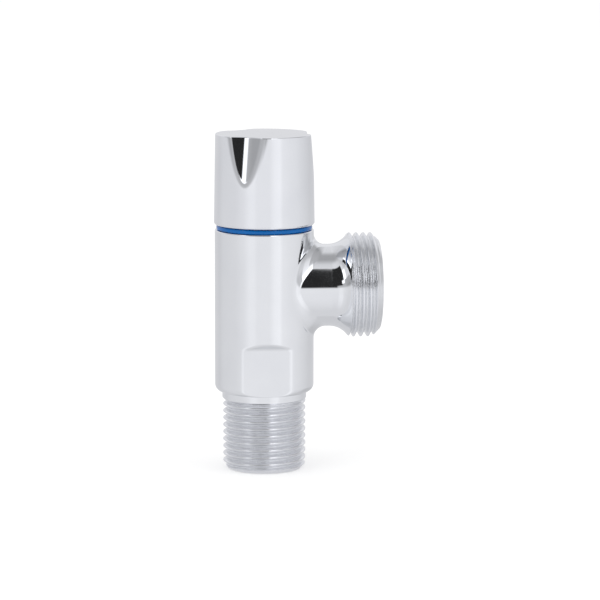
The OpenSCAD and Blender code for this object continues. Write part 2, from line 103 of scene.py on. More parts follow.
def addGrid(skin, surface, us, vs, spare=(0, 0, 1), coat=0):
    u, v = np.meshgrid(np.asarray(us, float), np.asarray(vs, float), indexing="ij")
    h = tiny["step"]
    p = surface(u, v)
    n = np.cross(surface(u + h, v) - surface(u - h, v), surface(u, v + h) - surface(u, v - h))
    size = np.linalg.norm(n, axis=-1, keepdims=True)
    n = np.where(size > tiny["normal"], n / np.maximum(size, tiny["normal"]), spare)

    def corners(a):
        return np.stack([a[:-1, :-1], a[1:, :-1], a[1:, 1:], a[:-1, 1:]], axis=2).reshape(-1, 4, 3)
    addFaces(skin, corners(p), corners(n), coat)


def line(p, q):
    return lambda t: (p[0] + (q[0] - p[0]) * t, p[1] + (q[1] - p[1]) * t)


def arc(centre, r, a, b):
    return lambda t: (centre[0] + r * cosDeg(a + (b - a) * t), centre[1] + r * sinDeg(a + (b - a) * t))


def roundPath(corners, steps=5):
    # corners are (radius, height, rounding); gives straight pieces and arcs
    pieces, start = [], np.array(corners[0][:2], float)
    for before, corner, after in zip(corners, corners[1:], corners[2:]):
        p = np.array(corner[:2], float)
        back = np.array(before[:2]) - p
        ahead = np.array(after[:2]) - p
        back, ahead = back / np.linalg.norm(back), ahead / np.linalg.norm(ahead)
        if len(corner) < 3:
            pieces.append((line(start, p), 1))
            start = p
            continue
        half = math.acos(np.clip(back @ ahead, -1, 1)) / 2
        reach = corner[2] / math.tan(half)
        a, b = p + back * reach, p + ahead * reach
        middle = back + ahead
        centre = p + middle / np.linalg.norm(middle) * corner[2] / math.sin(half)
        if np.linalg.norm(a - start) > tiny["length"]:
            pieces.append((line(start, a), 1))
        first = math.degrees(math.atan2(*(a - centre)[::-1]))
        last = math.degrees(math.atan2(*(b - centre)[::-1]))
        last = first + (last - first + 180) % 360 - 180
        pieces.append((arc(centre, corner[2], first, last), steps))
        start = b
    pieces.append((line(start, np.array(corners[-1][:2], float)), 1))
    return pieces


def upAxis(profile):
    def surface(u, v):
        r, h = profile(v)
        return np.stack([r * cosDeg(u), r * sinDeg(u), h + 0 * u], axis=-1)
    return surface


def outletAxis(profile):
    # turns from the top of the branch over its near side, along +X
    def surface(u, v):
        r, h = profile(v)
        return np.stack([h + 0 * u, -r * sinDeg(u), outlet["z"] + r * cosDeg(u)], axis=-1)
    return surface


def addTurned(skin, corners, turns, axis=upAxis, steps=5):
    for profile, count in roundPath(corners, steps):
        addGrid(skin, axis(profile), turns, np.linspace(0, 1, count + 1))


def insideLoop(points, loop):
    # a point is inside a closed loop if a line from it to the right crosses an odd number of sides
    x, y = points[:, 0, None], points[:, 1, None]
    ax, ay = loop[None, :, 0], loop[None, :, 1]
    bx, by = np.roll(loop[:, 0], -1)[None], np.roll(loop[:, 1], -1)[None]
    cross = (ay > y) != (by > y)
    hit = x < (bx - ax) * (y - ay) / np.where(by == ay, tiny["rise"], by - ay) + ax
    return (cross & hit).sum(axis=1) % 2 == 1


def addWallWithHole(skin, radius, turns, rows, loop, inward=False, clear=0.4):
    # the wall is laid out flat, cut along the loop and rolled up again; points of its grid that are
    # nearer to the loop than clear are left out
    scale = np.array([radius * math.pi / 180, 1])
    ring = np.asarray(loop) * scale
    u, v = np.meshgrid(turns, rows, indexing="ij")
    grid = np.stack([u.ravel(), v.ravel()], axis=1) * scale
    rim = (u == turns[0]) | (u == turns[-1]) | (v == rows[0]) | (v == rows[-1])
    near = np.linalg.norm(grid[:, None] - ring[None], axis=2).min(axis=1) < clear
    keep = rim.ravel() | ~(near | insideLoop(grid, ring))
    grid = grid[keep]
    coords = [Vector(p) for p in np.concatenate([ring, grid])]
    count = len(ring)
    edges = [(i, (i + 1) % count) for i in range(count)]
    verts, _, faces, *_ = delaunay_2d_cdt(coords, edges, [], 0, tiny["cut"])
    flat = np.array([tuple(v) for v in verts])
    tris = np.array(faces)
    tris = tris[~insideLoop(flat[tris].mean(axis=1), ring)]
    # the flat points that the cut gives back are matched to the exact ones
    exact = np.concatenate([ring, grid])
    match = np.array([np.argmin(((exact - p) ** 2).sum(axis=1)) for p in flat])
    flat = exact[match]
    angle = flat[:, 0] / scale[0]
    points = np.stack([radius * cosDeg(angle), radius * sinDeg(angle), flat[:, 1]], axis=1)
    normals = np.stack([cosDeg(angle), sinDeg(angle), 0 * angle], axis=1)
    if inward:
        tris, normals = tris[:, ::-1], -normals
    addFaces(skin, points[tris], normals[tris])


# corners in the same cell of a fine grid become one; the shift keeps round numbers off the cells' borders
weld = {"perMm": 1e3, "shift": 0.137}


def makePiece(name, skin, coatNames, body, node):
    # a skin becomes one mesh, which rides on a body and stands for a node
    points = [c.reshape(-1, 3) for c, _, _ in skin]
    normals = np.concatenate([n.reshape(-1, 3) for _, n, _ in skin])
    sides = np.concatenate([np.full(len(c), c.shape[1]) for c, _, _ in skin])
    coats = np.concatenate([np.full(len(c), coat) for c, _, coat in skin])
    points = np.concatenate(points)
    cells = np.round(points * weld["perMm"] + weld["shift"]).astype(np.int64)
    _, first, index = np.unique(cells, axis=0, return_index=True, return_inverse=True)
    index = index.ravel()
    verts = points[first] / metre
    faces, cornerNormals, faceCoats, at = [], [], [], 0
    for count, coat in zip(sides, coats):
        ring, kept = [], []
        for i in range(at, at + count):
            if index[i] not in ring:
                ring.append(int(index[i]))
                kept.append(normals[i])
        if len(ring) > 2:
            faces.append(ring)
            cornerNormals += kept
            faceCoats.append(int(coat))
        at += count
    mesh = bpy.data.meshes.new(name)
    mesh.from_pydata(verts.tolist(), [], faces)
    mesh.polygons.foreach_set("use_smooth", [True] * len(mesh.polygons))
    mesh.normals_split_custom_set([tuple(n) for n in cornerNormals])
    for coatName in coatNames:
        mesh.materials.append(finishes[coatName])
    mesh.polygons.foreach_set("material_index", faceCoats)
    obj = bpy.data.objects.new(name, mesh)
    bpy.context.collection.objects.link(obj)
    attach(obj, body)
    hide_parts(node)
    print(name, len(faces), "faces")
    return obj


# materials
noiseRange = (0.3, 0.7)  # the noise seldom leaves it


def newMaterial(name):
    material = bpy.data.materials.new(name)
    material.use_nodes = True
    nodes, links = material.node_tree.nodes, material.node_tree.links
    shader = nodes["Principled BSDF"]
    place = nodes.new("ShaderNodeTexCoord")
    return material, nodes, links, shader, place


def noiseNode(nodes, links, place, scale, detail=3.0, stretch=(1, 1, 1)):
    mapping = nodes.new("ShaderNodeMapping")
    mapping.inputs["Scale"].default_value = stretch
    noise = nodes.new("ShaderNodeTexNoise")
    noise.inputs["Scale"].default_value = scale
    noise.inputs["Detail"].default_value = detail
    links.new(place.outputs["Object"], mapping.inputs["Vector"])
    links.new(mapping.outputs["Vector"], noise.inputs["Vector"])
    return noise


def spread(nodes, links, source, low, high, socket):
    ranged = nodes.new("ShaderNodeMapRange")
    values = {"From Min": noiseRange[0], "From Max": noiseRange[1], "To Min": low, "To Max": high}
    for name, value in values.items():
        ranged.inputs[name].default_value = value
    links.new(source, ranged.inputs["Value"])
    links.new(ranged.outputs["Result"], socket)


def shades(nodes, links, source, dark, light, socket):
    ramp = nodes.new("ShaderNodeValToRGB")
    for element, spot, colour in zip(ramp.color_ramp.elements, noiseRange, (dark, light)):
        element.position = spot
        element.color = (*colour, 1)
    links.new(source, ramp.inputs["Fac"])
    links.new(ramp.outputs["Color"], socket)


def relief(nodes, links, source, shader, strength, distance):
    bump = nodes.new("ShaderNodeBump")
    bump.inputs["Strength"].default_value = strength
    bump.inputs["Distance"].default_value = distance
    links.new(source, bump.inputs["Height"])
    links.new(bump.outputs["Normal"], shader.inputs["Normal"])


def grooveMask(nodes, links, place, groove):
    # 0 on the crests of a thread and 1 in its roots, by the distance from the thread's axis
    keptAxes = nodes.new("ShaderNodeVectorMath")
    keptAxes.operation = "MULTIPLY_ADD"
    keptAxes.inputs[1].default_value = groove["across"]
    keptAxes.inputs[2].default_value = groove["shift"]
    away = nodes.new("ShaderNodeVectorMath")
    away.operation = "LENGTH"
    mask = nodes.new("ShaderNodeMapRange")
    mask.interpolation_type = "SMOOTHSTEP"
    mask.inputs["From Min"].default_value = groove["crest"]
    mask.inputs["From Max"].default_value = groove["root"]
    links.new(place.outputs["Object"], keptAxes.inputs[0])
    links.new(keptAxes.outputs["Vector"], away.inputs[0])
    links.new(away.outputs["Value"], mask.inputs["Value"])
    return mask.outputs["Result"]


def shadeAndDullRoots(nodes, links, shader, mask, look):
    # plating lies duller in the roots than on the crests, so they are rougher and less metallic; the roots'
    # slightly darker tone is painted shade in the thread's recesses
    metal = nodes.new("ShaderNodeMapRange")
    metal.inputs["To Min"].default_value = 1.0
    metal.inputs["To Max"].default_value = look["rootMetal"]
    links.new(mask, metal.inputs["Value"])
    links.new(metal.outputs["Result"], shader.inputs["Metallic"])
    bright = shader.inputs["Base Color"].links[0].from_socket
    gloss = shader.inputs["Roughness"].links[0].from_socket
    # painted shade: the base colour is mixed towards a darker tone in the thread's roots
    tone = nodes.new("ShaderNodeMix")
    tone.data_type = "RGBA"
    tone.inputs["B"].default_value = (*look["rootShadeTone"], 1)
    links.new(mask, tone.inputs["Factor"])
    links.new(bright, tone.inputs["A"])
    links.new(tone.outputs["Result"], shader.inputs["Base Color"])
    rough = nodes.new("ShaderNodeMix")
    rough.inputs["B"].default_value = look["rootRough"]
    links.new(mask, rough.inputs["Factor"])
    links.new(gloss, rough.inputs["A"])
    links.new(rough.outputs["Result"], shader.inputs["Roughness"])


def finish(name, look):
    # a metal or a plain material with patches of shade, uneven gloss and a fine relief
    material, nodes, links, shader, place = newMaterial(name)
    patches = noiseNode(nodes, links, place, look["patch"])
    stretch = look.get("stretch", (1, 1, 1))
    grain = noiseNode(nodes, links, place, look["grain"], detail=4.0, stretch=stretch)
    shader.inputs["Metallic"].default_value = look.get("metal", 0.0)
    shader.inputs["Specular IOR Level"].default_value = look.get("gloss", 0.5)
    shades(nodes, links, patches.outputs["Fac"], look["dark"], look["light"], shader.inputs["Base Color"])
    spread(nodes, links, grain.outputs["Fac"], *look["rough"], shader.inputs["Roughness"])
    relief(nodes, links, grain.outputs["Fac"], shader, *look["relief"])
    if "groove" in look:
        shadeAndDullRoots(nodes, links, shader, grooveMask(nodes, links, place, look["groove"]), look)
    return material


# patch and grain are noise scales, relief is strength and height, and groove and height are in metres
looks = {
    "platedBody": {"metal": 1.0, "dark": (0.83, 0.84, 0.86), "light": (0.87, 0.88, 0.895),
                   "patch": 90, "grain": 260, "rough": (0.035, 0.075), "relief": (0.04, 0.00002)},
    # the threads' root tone is a painted shade in their roots; their root roughness and metal make them
    # duller
    "platedInlet": {"metal": 1.0, "dark": (0.83, 0.84, 0.865), "light": (0.87, 0.88, 0.90), "patch": 160,
                    "grain": 500, "rough": (0.15, 0.21), "relief": (0.05, 0.00001),
                    "rootShadeTone": (0.82, 0.83, 0.86), "rootRough": 0.30, "rootMetal": 0.75,
                    "groove": {"across": (1, 1, 0), "shift": (0, 0, 0), "crest": 0.01025, "root": 0.00985}},
    "platedOutlet": {"metal": 1.0, "dark": (0.83, 0.84, 0.865), "light": (0.87, 0.88, 0.90), "patch": 160,
                     "grain": 500, "rough": (0.09, 0.15), "relief": (0.05, 0.00001),
                     "rootShadeTone": (0.84, 0.85, 0.87), "rootRough": 0.20, "rootMetal": 0.88,
                     "groove": {"across": (0, 1, 1), "shift": (0, 0, -0.0465),
                                "crest": 0.0130, "root": 0.0126}},
    "platedKnob": {"metal": 1.0, "dark": (0.83, 0.84, 0.865), "light": (0.87, 0.88, 0.90),
                   "patch": 90, "grain": 260, "rough": (0.035, 0.075), "relief": (0.04, 0.00002)},
    "blueRing": {"dark": (0.0, 0.115, 0.40), "light": (0.0, 0.140, 0.47), "patch": 140,
                 "grain": 900, "rough": (0.06, 0.14), "relief": (0.1, 0.00002), "gloss": 0.3},
    "turnedBrass": {"metal": 1.0, "dark": (0.66, 0.45, 0.19), "light": (0.80, 0.60, 0.30), "patch": 160,
                    "grain": 500, "stretch": (0.3, 0.3, 9), "rough": (0.20, 0.36), "relief": (0.3, 0.00003)},
    "blackRubber": {"dark": (0.012, 0.012, 0.013), "light": (0.03, 0.03, 0.03), "patch": 300,
                    "grain": 1500, "rough": (0.5, 0.7), "relief": (0.4, 0.00004)},
    "whiteAcetal": {"dark": (0.72, 0.71, 0.66), "light": (0.84, 0.83, 0.79), "patch": 200,
                    "grain": 1100, "rough": (0.34, 0.5), "relief": (0.2, 0.00003)},
    "springSteel": {"metal": 1.0, "dark": (0.46, 0.46, 0.47), "light": (0.62, 0.62, 0.62), "patch": 260,
                    "grain": 900, "stretch": (8, 1, 1), "rough": (0.25, 0.42), "relief": (0.25, 0.00003)},
    "lappedCeramic": {"dark": (0.80, 0.77, 0.70), "light": (0.90, 0.88, 0.83), "patch": 240,
                      "grain": 2200, "rough": (0.10, 0.2), "relief": (0.08, 0.00001)},
}
finishes = {name: finish(name, look) for name, look in looks.items()}
print("materials made")

# body; fade is the length of a thread's run-out, flatEdge the turn from a flat's middle to its edge,
# and search holds a radius inside the outline and one outside it
inlet = {"r": 10.4775, "threadTop": 18.0, "chamfer": 1.2, "chamferRound": 0.15, "bore": 7.0, "boreRound": 0.3,
         "crestZ": 1.81, "crestTurn": 175, "fade": 1.1, "fadePast": 0.15,
         "collar": 10.6575, "collarLip": 0.15, "collarRound": 0.12}
barrel = {"r": 12.5, "low": 19.7, "top": 60.9, "lowRound": 1.8, "topRound": 0.25,
          "flat": 10.9, "ledge": 31.8, "flatTop": 33.3, "inner": 0.4, "edge": 0.45, "flatEdge": 29.3,
          "search": (8.0, 14.0)}
outlet = {"z": 46.5, "r": 13.2205, "neck": 10.4, "start": 20.9, "end": 29.0, "flare": 5.8,
          "lead": 0.52, "leadRound": 0.12, "chamfer": 1.9, "chamferRound": 0.2, "fade": 0.8, "crestX": 21.6,
          "bore": 7.2, "boreRound": 0.3, "boreX": 14.0, "mouth": 9.2, "mouthX": 21.0, "mouthRound": 0.3,
          "stepRound": 0.2, "saddle": 2.9, "saddleSide": 5.5}
chamber = {"r": 10.2, "low": 37.2, "high": 53.9}
mouth = {"r": 11.2, "low": 59.4, "round": 0.1, "thread": 10.4775}
seat = {"guide": 9.2, "z": 35.0, "round": 0.2, "throat": 5.8, "throatLow": 32.0}
bodyCoats = ["platedBody", "platedInlet", "platedOutlet"]

# how finely the body is cut: turns in degrees, wallRows as (first, last, count) and ledgeRows as
# (first, last, step)
bodyCut = {"turn": 3, "fineTurn": 0.8, "fineReach": 4, "fineClear": 4.3, "window": 72.0, "around": 2,
           "inletRows": 161, "outletRows": 84, "chamberRows": 9, "bendRows": 13, "neckRows": 5,
           "footRows": 11, "flatTo": 30.9, "flatRows": 7, "ledgeRows": (31.0, 33.4, 0.06), "wallLow": 33.45,
           "wallRows": (34.4, 59.6, 27)}
halvings = 44  # rounds of the search for a radius


def stepsTo(first, last, step):
    # evenly spaced values, with the last one kept
    return np.arange(first, last + step / 100, step)


def bodyTurns():
    # even all round, and finer across the upright edges of the spanner flats
    plain = stepsTo(-180, 180, bodyCut["turn"])
    edges = [side * (90 + off) for side in (-1, 1) for off in (-barrel["flatEdge"], barrel["flatEdge"])]
    reach, window = bodyCut["fineReach"], bodyCut["window"]
    fine = [e + d for e in edges for d in stepsTo(-reach, reach, bodyCut["fineTurn"])]
    far = [a for a in plain if min(abs(a - e) for e in edges) > bodyCut["fineClear"] or abs(a) == 180]
    return np.array(sorted(set(np.round(list(far) + fine, 4)) | {-window, window}))


def reachOut(solidAt, shape, low, high):
    # the radius where the solid ends, by halving the range between a low and a high radius
    low, high = np.full(shape, low), np.full(shape, high)
    for _ in range(halvings):
        mid = (low + high) / 2
        solid = solidAt(mid)
        low, high = np.where(solid, mid, low), np.where(solid, high, mid)
    return (low + high) / 2


def flatRadius(u, z, outer):
    # distance from the axis to the barrel with both spanner flats taken off
    slope = (barrel["flatTop"] - barrel["ledge"]) / (barrel["r"] - barrel["flat"])

    def solidAt(r):
        depth = np.abs(r * sinDeg(u)) - barrel["flat"]
        under = (z - barrel["ledge"] - depth * slope) / math.hypot(1, slope)
        cutter = softMax(-depth, under, barrel["inner"])
        return softMax(r - outer, -cutter, barrel["edge"]) < 0
    return reachOut(solidAt, u.shape, *barrel["search"])


def barrelFoot(u, v):
    r, h = arc((barrel["r"] - barrel["lowRound"], barrel["low"] + barrel["lowRound"]),
               barrel["lowRound"], -90, 0)(v)
    r = flatRadius(u, h, r)
    return np.stack([r * cosDeg(u), r * sinDeg(u), h], axis=-1)


def barrelSide(u, v):
    r = flatRadius(u, v, barrel["r"])
    return np.stack([r * cosDeg(u), r * sinDeg(u), v], axis=-1)


def inletThread(u, v):
    groove = threadDip((v - inlet["crestZ"]) / thread["pitch"] - (u - inlet["crestTurn"]) / 360)
    groove = groove * fadeIn(inlet["threadTop"] + inlet["fadePast"] - v, inlet["fade"])
    r = softMin(inlet["r"] - groove, inlet["r"] - inlet["chamfer"] + v, inlet["chamferRound"])
    return np.stack([r * cosDeg(u), r * sinDeg(u), v], axis=-1)


def collarUnder(u, v):
    start = inletThread(u, np.full(u.shape, inlet["threadTop"]))
    r = np.hypot(start[..., 0], start[..., 1]) * (1 - v) + (inlet["collar"] - inlet["collarLip"]) * v
    return np.stack([r * cosDeg(u), r * sinDeg(u), start[..., 2]], axis=-1)


def ballRadius(u):
    return outlet["saddle"] + (outlet["saddleSide"] - outlet["saddle"]) * sinDeg(u) ** 2


def saddle(u, v):
    # v runs from the barrel to the neck, round a ball that rolls along the joint
    r = ballRadius(u)
    y = -(outlet["neck"] + r) * sinDeg(u)
    x = np.sqrt((barrel["r"] + r) ** 2 - y ** 2)
    centre = np.stack([x, y, (outlet["neck"] + r) * cosDeg(u)], axis=-1)
    neck = np.stack([0 * u, sinDeg(u), -cosDeg(u)], axis=-1)
    side = centre * [-1, -1, 0] / (barrel["r"] + r)[..., None]
    angle = np.arccos((neck * side).sum(axis=-1))
    v = v * np.ones_like(u)
    way = np.sin((1 - v) * angle)[..., None] * side + np.sin(v * angle)[..., None] * neck
    way = way / np.sin(angle)[..., None]
    return centre + r[..., None] * way + [0, 0, outlet["z"]]


def neckSkin(u, v):
    start = saddle(u, np.ones_like(u))[..., 0]
    x = start * (1 - v) + flareStart * v
    return np.stack([x, -outlet["neck"] * sinDeg(u), outlet["z"] + outlet["neck"] * cosDeg(u)], axis=-1)


def outletThread(u, v):
    groove = threadDip((v - outlet["crestX"]) / thread["pitch"] - u / 360)
    groove = groove * fadeIn(v - outlet["start"], outlet["fade"])
    r = softMin(outlet["r"] - groove, outlet["r"] - outlet["lead"] + v - outlet["start"], outlet["leadRound"])
    r = softMin(r, outlet["r"] - outlet["chamfer"] + outlet["end"] - v, outlet["chamferRound"])
    return np.stack([v + 0 * u, -r * sinDeg(u), outlet["z"] + r * cosDeg(u)], axis=-1)


def boreSkin(u, v):
    # the last stretch of the outlet's bore, up to the round wall of the chamber
    wallX = np.sqrt(chamber["r"] ** 2 - (outlet["bore"] * sinDeg(u)) ** 2)
    x = outlet["boreX"] * (1 - v) + wallX * v
    return np.stack([x, -outlet["bore"] * sinDeg(u), outlet["z"] + outlet["bore"] * cosDeg(u)], axis=-1)


flareRise = outlet["r"] - outlet["lead"] - outlet["neck"]
flareStart = outlet["start"] - math.sqrt(outlet["flare"] ** 2 - (outlet["flare"] - flareRise) ** 2)
flareTurn = math.degrees(math.acos(1 - flareRise / outlet["flare"]))


def makeBody():
    skin = []
    cut = bodyCut
    turns = bodyTurns()
    around = stepsTo(0, 360, cut["around"])
    inletCoat, outletCoat = bodyCoats.index("platedInlet"), bodyCoats.index("platedOutlet")
    bend = np.linspace(0, 1, cut["bendRows"])

    # inlet and collar
    rows = np.linspace(0, inlet["threadTop"], cut["inletRows"])
    addGrid(skin, inletThread, turns, rows, coat=inletCoat)
    addGrid(skin, collarUnder, turns, [0, 1], coat=inletCoat)
    collar, foot = inlet["collar"], barrel["r"] - barrel["lowRound"]
    addTurned(skin, [(collar - inlet["collarLip"], inlet["threadTop"]),
                     (collar, inlet["threadTop"], inlet["collarRound"]),
                     (collar, barrel["low"]), (foot, barrel["low"])], turns)

    # barrel, cut open where the branch joins it
    addGrid(skin, barrelFoot, turns, np.linspace(0, 1, cut["footRows"]))
    rows = [np.linspace(barrel["low"] + barrel["lowRound"], cut["flatTo"], cut["flatRows"]),
            stepsTo(*cut["ledgeRows"]), [cut["wallLow"]]]
    addGrid(skin, barrelSide, turns, np.concatenate(rows))
    wallTop = barrel["top"] - barrel["topRound"]
    rows = np.concatenate([[cut["wallLow"]], np.linspace(*cut["wallRows"]), [wallTop]])
    window = turns[np.abs(turns) <= cut["window"]]
    back, front = turns[turns <= -cut["window"]], turns[turns >= cut["window"]]
    plain = upAxis(lambda v: (barrel["r"], v))
    addGrid(skin, plain, back, rows)
    addGrid(skin, plain, front, rows)
    joint = saddle(around[:-1], np.zeros(len(around) - 1))
    loop = np.stack([np.degrees(np.arctan2(joint[:, 1], joint[:, 0])), joint[:, 2]], axis=1)
    addWallWithHole(skin, barrel["r"], window, rows, loop)

    # branch and outlet
    addGrid(skin, saddle, around, bend)
    addGrid(skin, neckSkin, around, np.linspace(0, 1, cut["neckRows"]))
    flare = arc((outlet["neck"] + outlet["flare"], flareStart), outlet["flare"], 180, 180 - flareTurn)
    addGrid(skin, outletAxis(flare), around, bend)
    rows = np.linspace(outlet["start"], outlet["end"], cut["outletRows"])
    addGrid(skin, outletThread, around, rows, coat=outletCoat)
    addTurned(skin, [(outlet["r"] - outlet["chamfer"], outlet["end"]),
                     (outlet["mouth"], outlet["end"], outlet["mouthRound"]),
                     (outlet["mouth"], outlet["mouthX"], outlet["stepRound"]),
                     (outlet["bore"], outlet["mouthX"], outlet["boreRound"]),
                     (outlet["bore"], outlet["boreX"])], around, outletAxis)
    addGrid(skin, boreSkin, around, [0, 1])

    # chamber, cut open where the outlet's bore leaves it
    angle = np.degrees(np.arcsin(-outlet["bore"] * sinDeg(around[:-1]) / chamber["r"]))
    loop = np.stack([angle, outlet["z"] + outlet["bore"] * cosDeg(around[:-1])], axis=1)
    rows = np.linspace(chamber["low"], chamber["high"], cut["chamberRows"])
    addWallWithHole(skin, chamber["r"], window, rows, loop, inward=True)
    wall = upAxis(lambda v: (chamber["r"], v))
    addGrid(skin, wall, back, rows[::-1])
    addGrid(skin, wall, front, rows[::-1])

    # mouth for the headwork above the chamber, seat and water way below it
    addTurned(skin, [(barrel["r"], wallTop), (barrel["r"], barrel["top"], barrel["topRound"]),
                     (mouth["r"], barrel["top"], mouth["round"]), (mouth["r"], mouth["low"]),
                     (mouth["thread"], mouth["low"]), (mouth["thread"], chamber["high"]),
                     (chamber["r"], chamber["high"])], turns)
    addTurned(skin, [(chamber["r"], chamber["low"]), (seat["guide"], chamber["low"]),
                     (seat["guide"], seat["z"]), (seat["throat"], seat["z"], seat["round"]),
                     (seat["throat"], seat["throatLow"]), (inlet["bore"], seat["throatLow"]),
                     (inlet["bore"], 0.0, inlet["boreRound"]), (inlet["r"] - inlet["chamfer"], 0.0)], turns)
    return makePiece("valveBodyPlated", skin, bodyCoats, "root", "valve_body")


# knob
knob = {"low": 62.2, "top": 85.1, "lowR": 12.7, "topR": 12.35, "lowRound": 0.6, "topRound": 0.2,
        "flutes": 3, "fluteTurn": 1.8, "fluteDepth": 1.9, "fluteLength": 12.0, "fluteR": 8.7,
        "edge": 3.0, "edgeLeast": 0.12, "search": (8.0, 13.5)}
fluteStep = 360 / knob["flutes"]
hollow = {"bore": 5.62, "boreLow": 74.4, "cup": 6.25, "hub": 7.6, "hubLow": 71.2, "roof": 82.1, "roofR": 6.5,
          "wall": 9.6, "wallLow": 72.4, "skirt": 11.65, "skirtRound": 0.15, "round": 0.2}
slot = {"half": 0.92, "reach": 6.42, "corners": (8.23, 9.42)}  # two slots in the bore for the insert's keys
rib = {"from": 7.5, "to": 9.7, "half": 0.6, "low": 73.4, "high": 82.2}

# how finely the knob is cut: turns as (first, last, step), finer about each flute than between two
knobCut = {"fluteTurns": (-30, 30, 0.6), "plainTurns": (33, 87, 3), "boreTurns": (-120, 240, 6),
           "plainTop": 69.4, "plainRows": 4, "fluteLow": 69.8, "fluteRows": 76, "shoulderRows": 8,
           "topRings": [0, 0.03, 0.2, 0.6, 1]}


def knobWall(z):
    return knob["topR"] + (knob["top"] - z) * (knob["lowR"] - knob["topR"]) / (knob["top"] - knob["low"])


def knobRadius(u, z):
    # distance from the axis to the side of the knob with its finger flutes
    floorTop = knob["topR"] - knob["fluteDepth"]
    floorLow = knobWall(knob["top"] - knob["fluteLength"])
    lean = math.atan((floorLow - floorTop) / knob["fluteLength"])
    along = np.array([-math.sin(lean), 0, math.cos(lean)])
    fluteR = knob["fluteR"]
    base = np.array([floorTop + fluteR * math.cos(lean), 0, knob["top"] + fluteR * math.sin(lean)])
    off = (u - knob["fluteTurn"] + fluteStep / 2) % fluteStep - fluteStep / 2

    def solidAt(r):
        p = np.stack([r * cosDeg(off), r * sinDeg(off), z], axis=-1) - base
        rest = p - (p @ along)[..., None] * along
        away = np.linalg.norm(rest, axis=-1)
        # the rim is rounder where wall and flute meet at a steeper angle, and never quite sharp
        meet = (rest[..., 0] * cosDeg(off) + rest[..., 1] * sinDeg(off)) / away
        edge = knob["edge"] * (1 + meet) + knob["edgeLeast"]
        return softMax(r - knobWall(z), fluteR - away, edge) < 0
    return reachOut(solidAt, u.shape, *knob["search"])


def knobSide(u, v):
    r = knobRadius(u, v)
    return np.stack([r * cosDeg(u), r * sinDeg(u), v], axis=-1)


def knobShoulder(u, v):
    z = knob["top"] - knob["topRound"] * (1 - sinDeg(v))
    r = knobRadius(u, z) - knob["topRound"] * (1 - cosDeg(v))
    return np.stack([r * cosDeg(u), r * sinDeg(u), z], axis=-1)


def knobTopFace(u, v):
    rim = knobRadius(u, np.full(u.shape, knob["top"])) - knob["topRound"]
    r = rim * (1 - v)
    return np.stack([r * cosDeg(u), r * sinDeg(u), np.full(u.shape, knob["top"])], axis=-1)


def keyedBore(u, v):
    # the round bore with a slot for a key at either side
    s, c = np.abs(sinDeg(u)), np.abs(cosDeg(u))
    sideR, endR = slot["half"] / np.maximum(s, tiny["length"]), slot["reach"] / np.maximum(c, tiny["length"])
    key = np.minimum(sideR, endR)
    r = np.maximum(hollow["bore"], np.where(hollow["bore"] * s < slot["half"], key, 0))
    z = hollow["roof"] + (hollow["boreLow"] - hollow["roof"]) * v
    return np.stack([r * cosDeg(u), r * sinDeg(u), z], axis=-1)


def addRib(skin, turn):
    # a flat rib between the hub and the wall
    corners = np.array([[x, y, z] for x in (rib["from"], rib["to"]) for y in (-rib["half"], rib["half"])
                        for z in (rib["low"], rib["high"])])
    spin = np.array([[cosDeg(turn), sinDeg(turn), 0], [-sinDeg(turn), cosDeg(turn), 0], [0, 0, 1]])
    corners = corners @ spin
    for face in ((0, 1, 3, 2), (4, 6, 7, 5), (0, 4, 5, 1), (2, 3, 7, 6), (0, 2, 6, 4), (1, 5, 7, 3)):
        p = corners[list(face)]
        n = np.cross(p[1] - p[0], p[2] - p[1])
        n = n / np.linalg.norm(n)
        addFaces(skin, p[None], np.tile(n, (1, 4, 1)))


def makeKnob():
    skin = []
    cut = knobCut
    near = list(stepsTo(*cut["fluteTurns"])) + list(stepsTo(*cut["plainTurns"]))
    closing = 360.0 + cut["fluteTurns"][0]
    turns = sorted({round(i * fluteStep + a, 3) for i in range(knob["flutes"]) for a in near} | {closing})
    turns = np.array(turns) + knob["fluteTurn"]

    # outside: wall with flutes, rounded shoulder and top
    foot = knob["low"] + knob["lowRound"]
    rows = [np.linspace(foot, cut["plainTop"], cut["plainRows"]),
            np.linspace(cut["fluteLow"], knob["top"] - knob["topRound"], cut["fluteRows"])]
    addGrid(skin, knobSide, turns, np.concatenate(rows))
    addGrid(skin, knobShoulder, turns, np.linspace(0, 90, cut["shoulderRows"]))
    addGrid(skin, knobTopFace, turns, cut["topRings"])

    # inside, from the bore in the hub over the roof and down the wall to the outer edge
    h = hollow
    addTurned(skin, [(h["bore"], h["boreLow"]), (h["cup"], h["boreLow"]), (h["cup"], h["hubLow"], h["round"]),
                     (h["hub"], h["hubLow"], h["round"]), (h["hub"], h["roof"]), (h["wall"], h["roof"]),
                     (h["wall"], h["wallLow"], h["round"]), (h["skirt"], h["wallLow"]),
                     (h["skirt"], knob["low"], h["skirtRound"]),
                     (knob["lowR"], knob["low"], knob["lowRound"]), (knobWall(foot), foot)], turns)
    corners = [c + s * a for c in (0, 180) for s in (-1, 1) for a in slot["corners"]]
    boreTurns = sorted(set(np.round(list(stepsTo(*cut["boreTurns"])) + corners, 3)))
    addGrid(skin, keyedBore, boreTurns, [0, 1])
    roof = upAxis(lambda v: (h["roofR"] * v, h["roof"] + 0 * v))
    addGrid(skin, roof, boreTurns, [0, 1], spare=(0, 0, -1))
    for i in range(knob["flutes"]):
        addRib(skin, knob["fluteTurn"] + (i + 0.5) * fluteStep)
    return makePiece("knobPlated", skin, ["platedKnob"], "knob", "knob")


# coloured ring
ring = {"in": 10.4975, "out": 12.1, "low": 60.9, "high": 62.1, "edge": 0.45, "innerEdge": 0.05, "turn": 2}


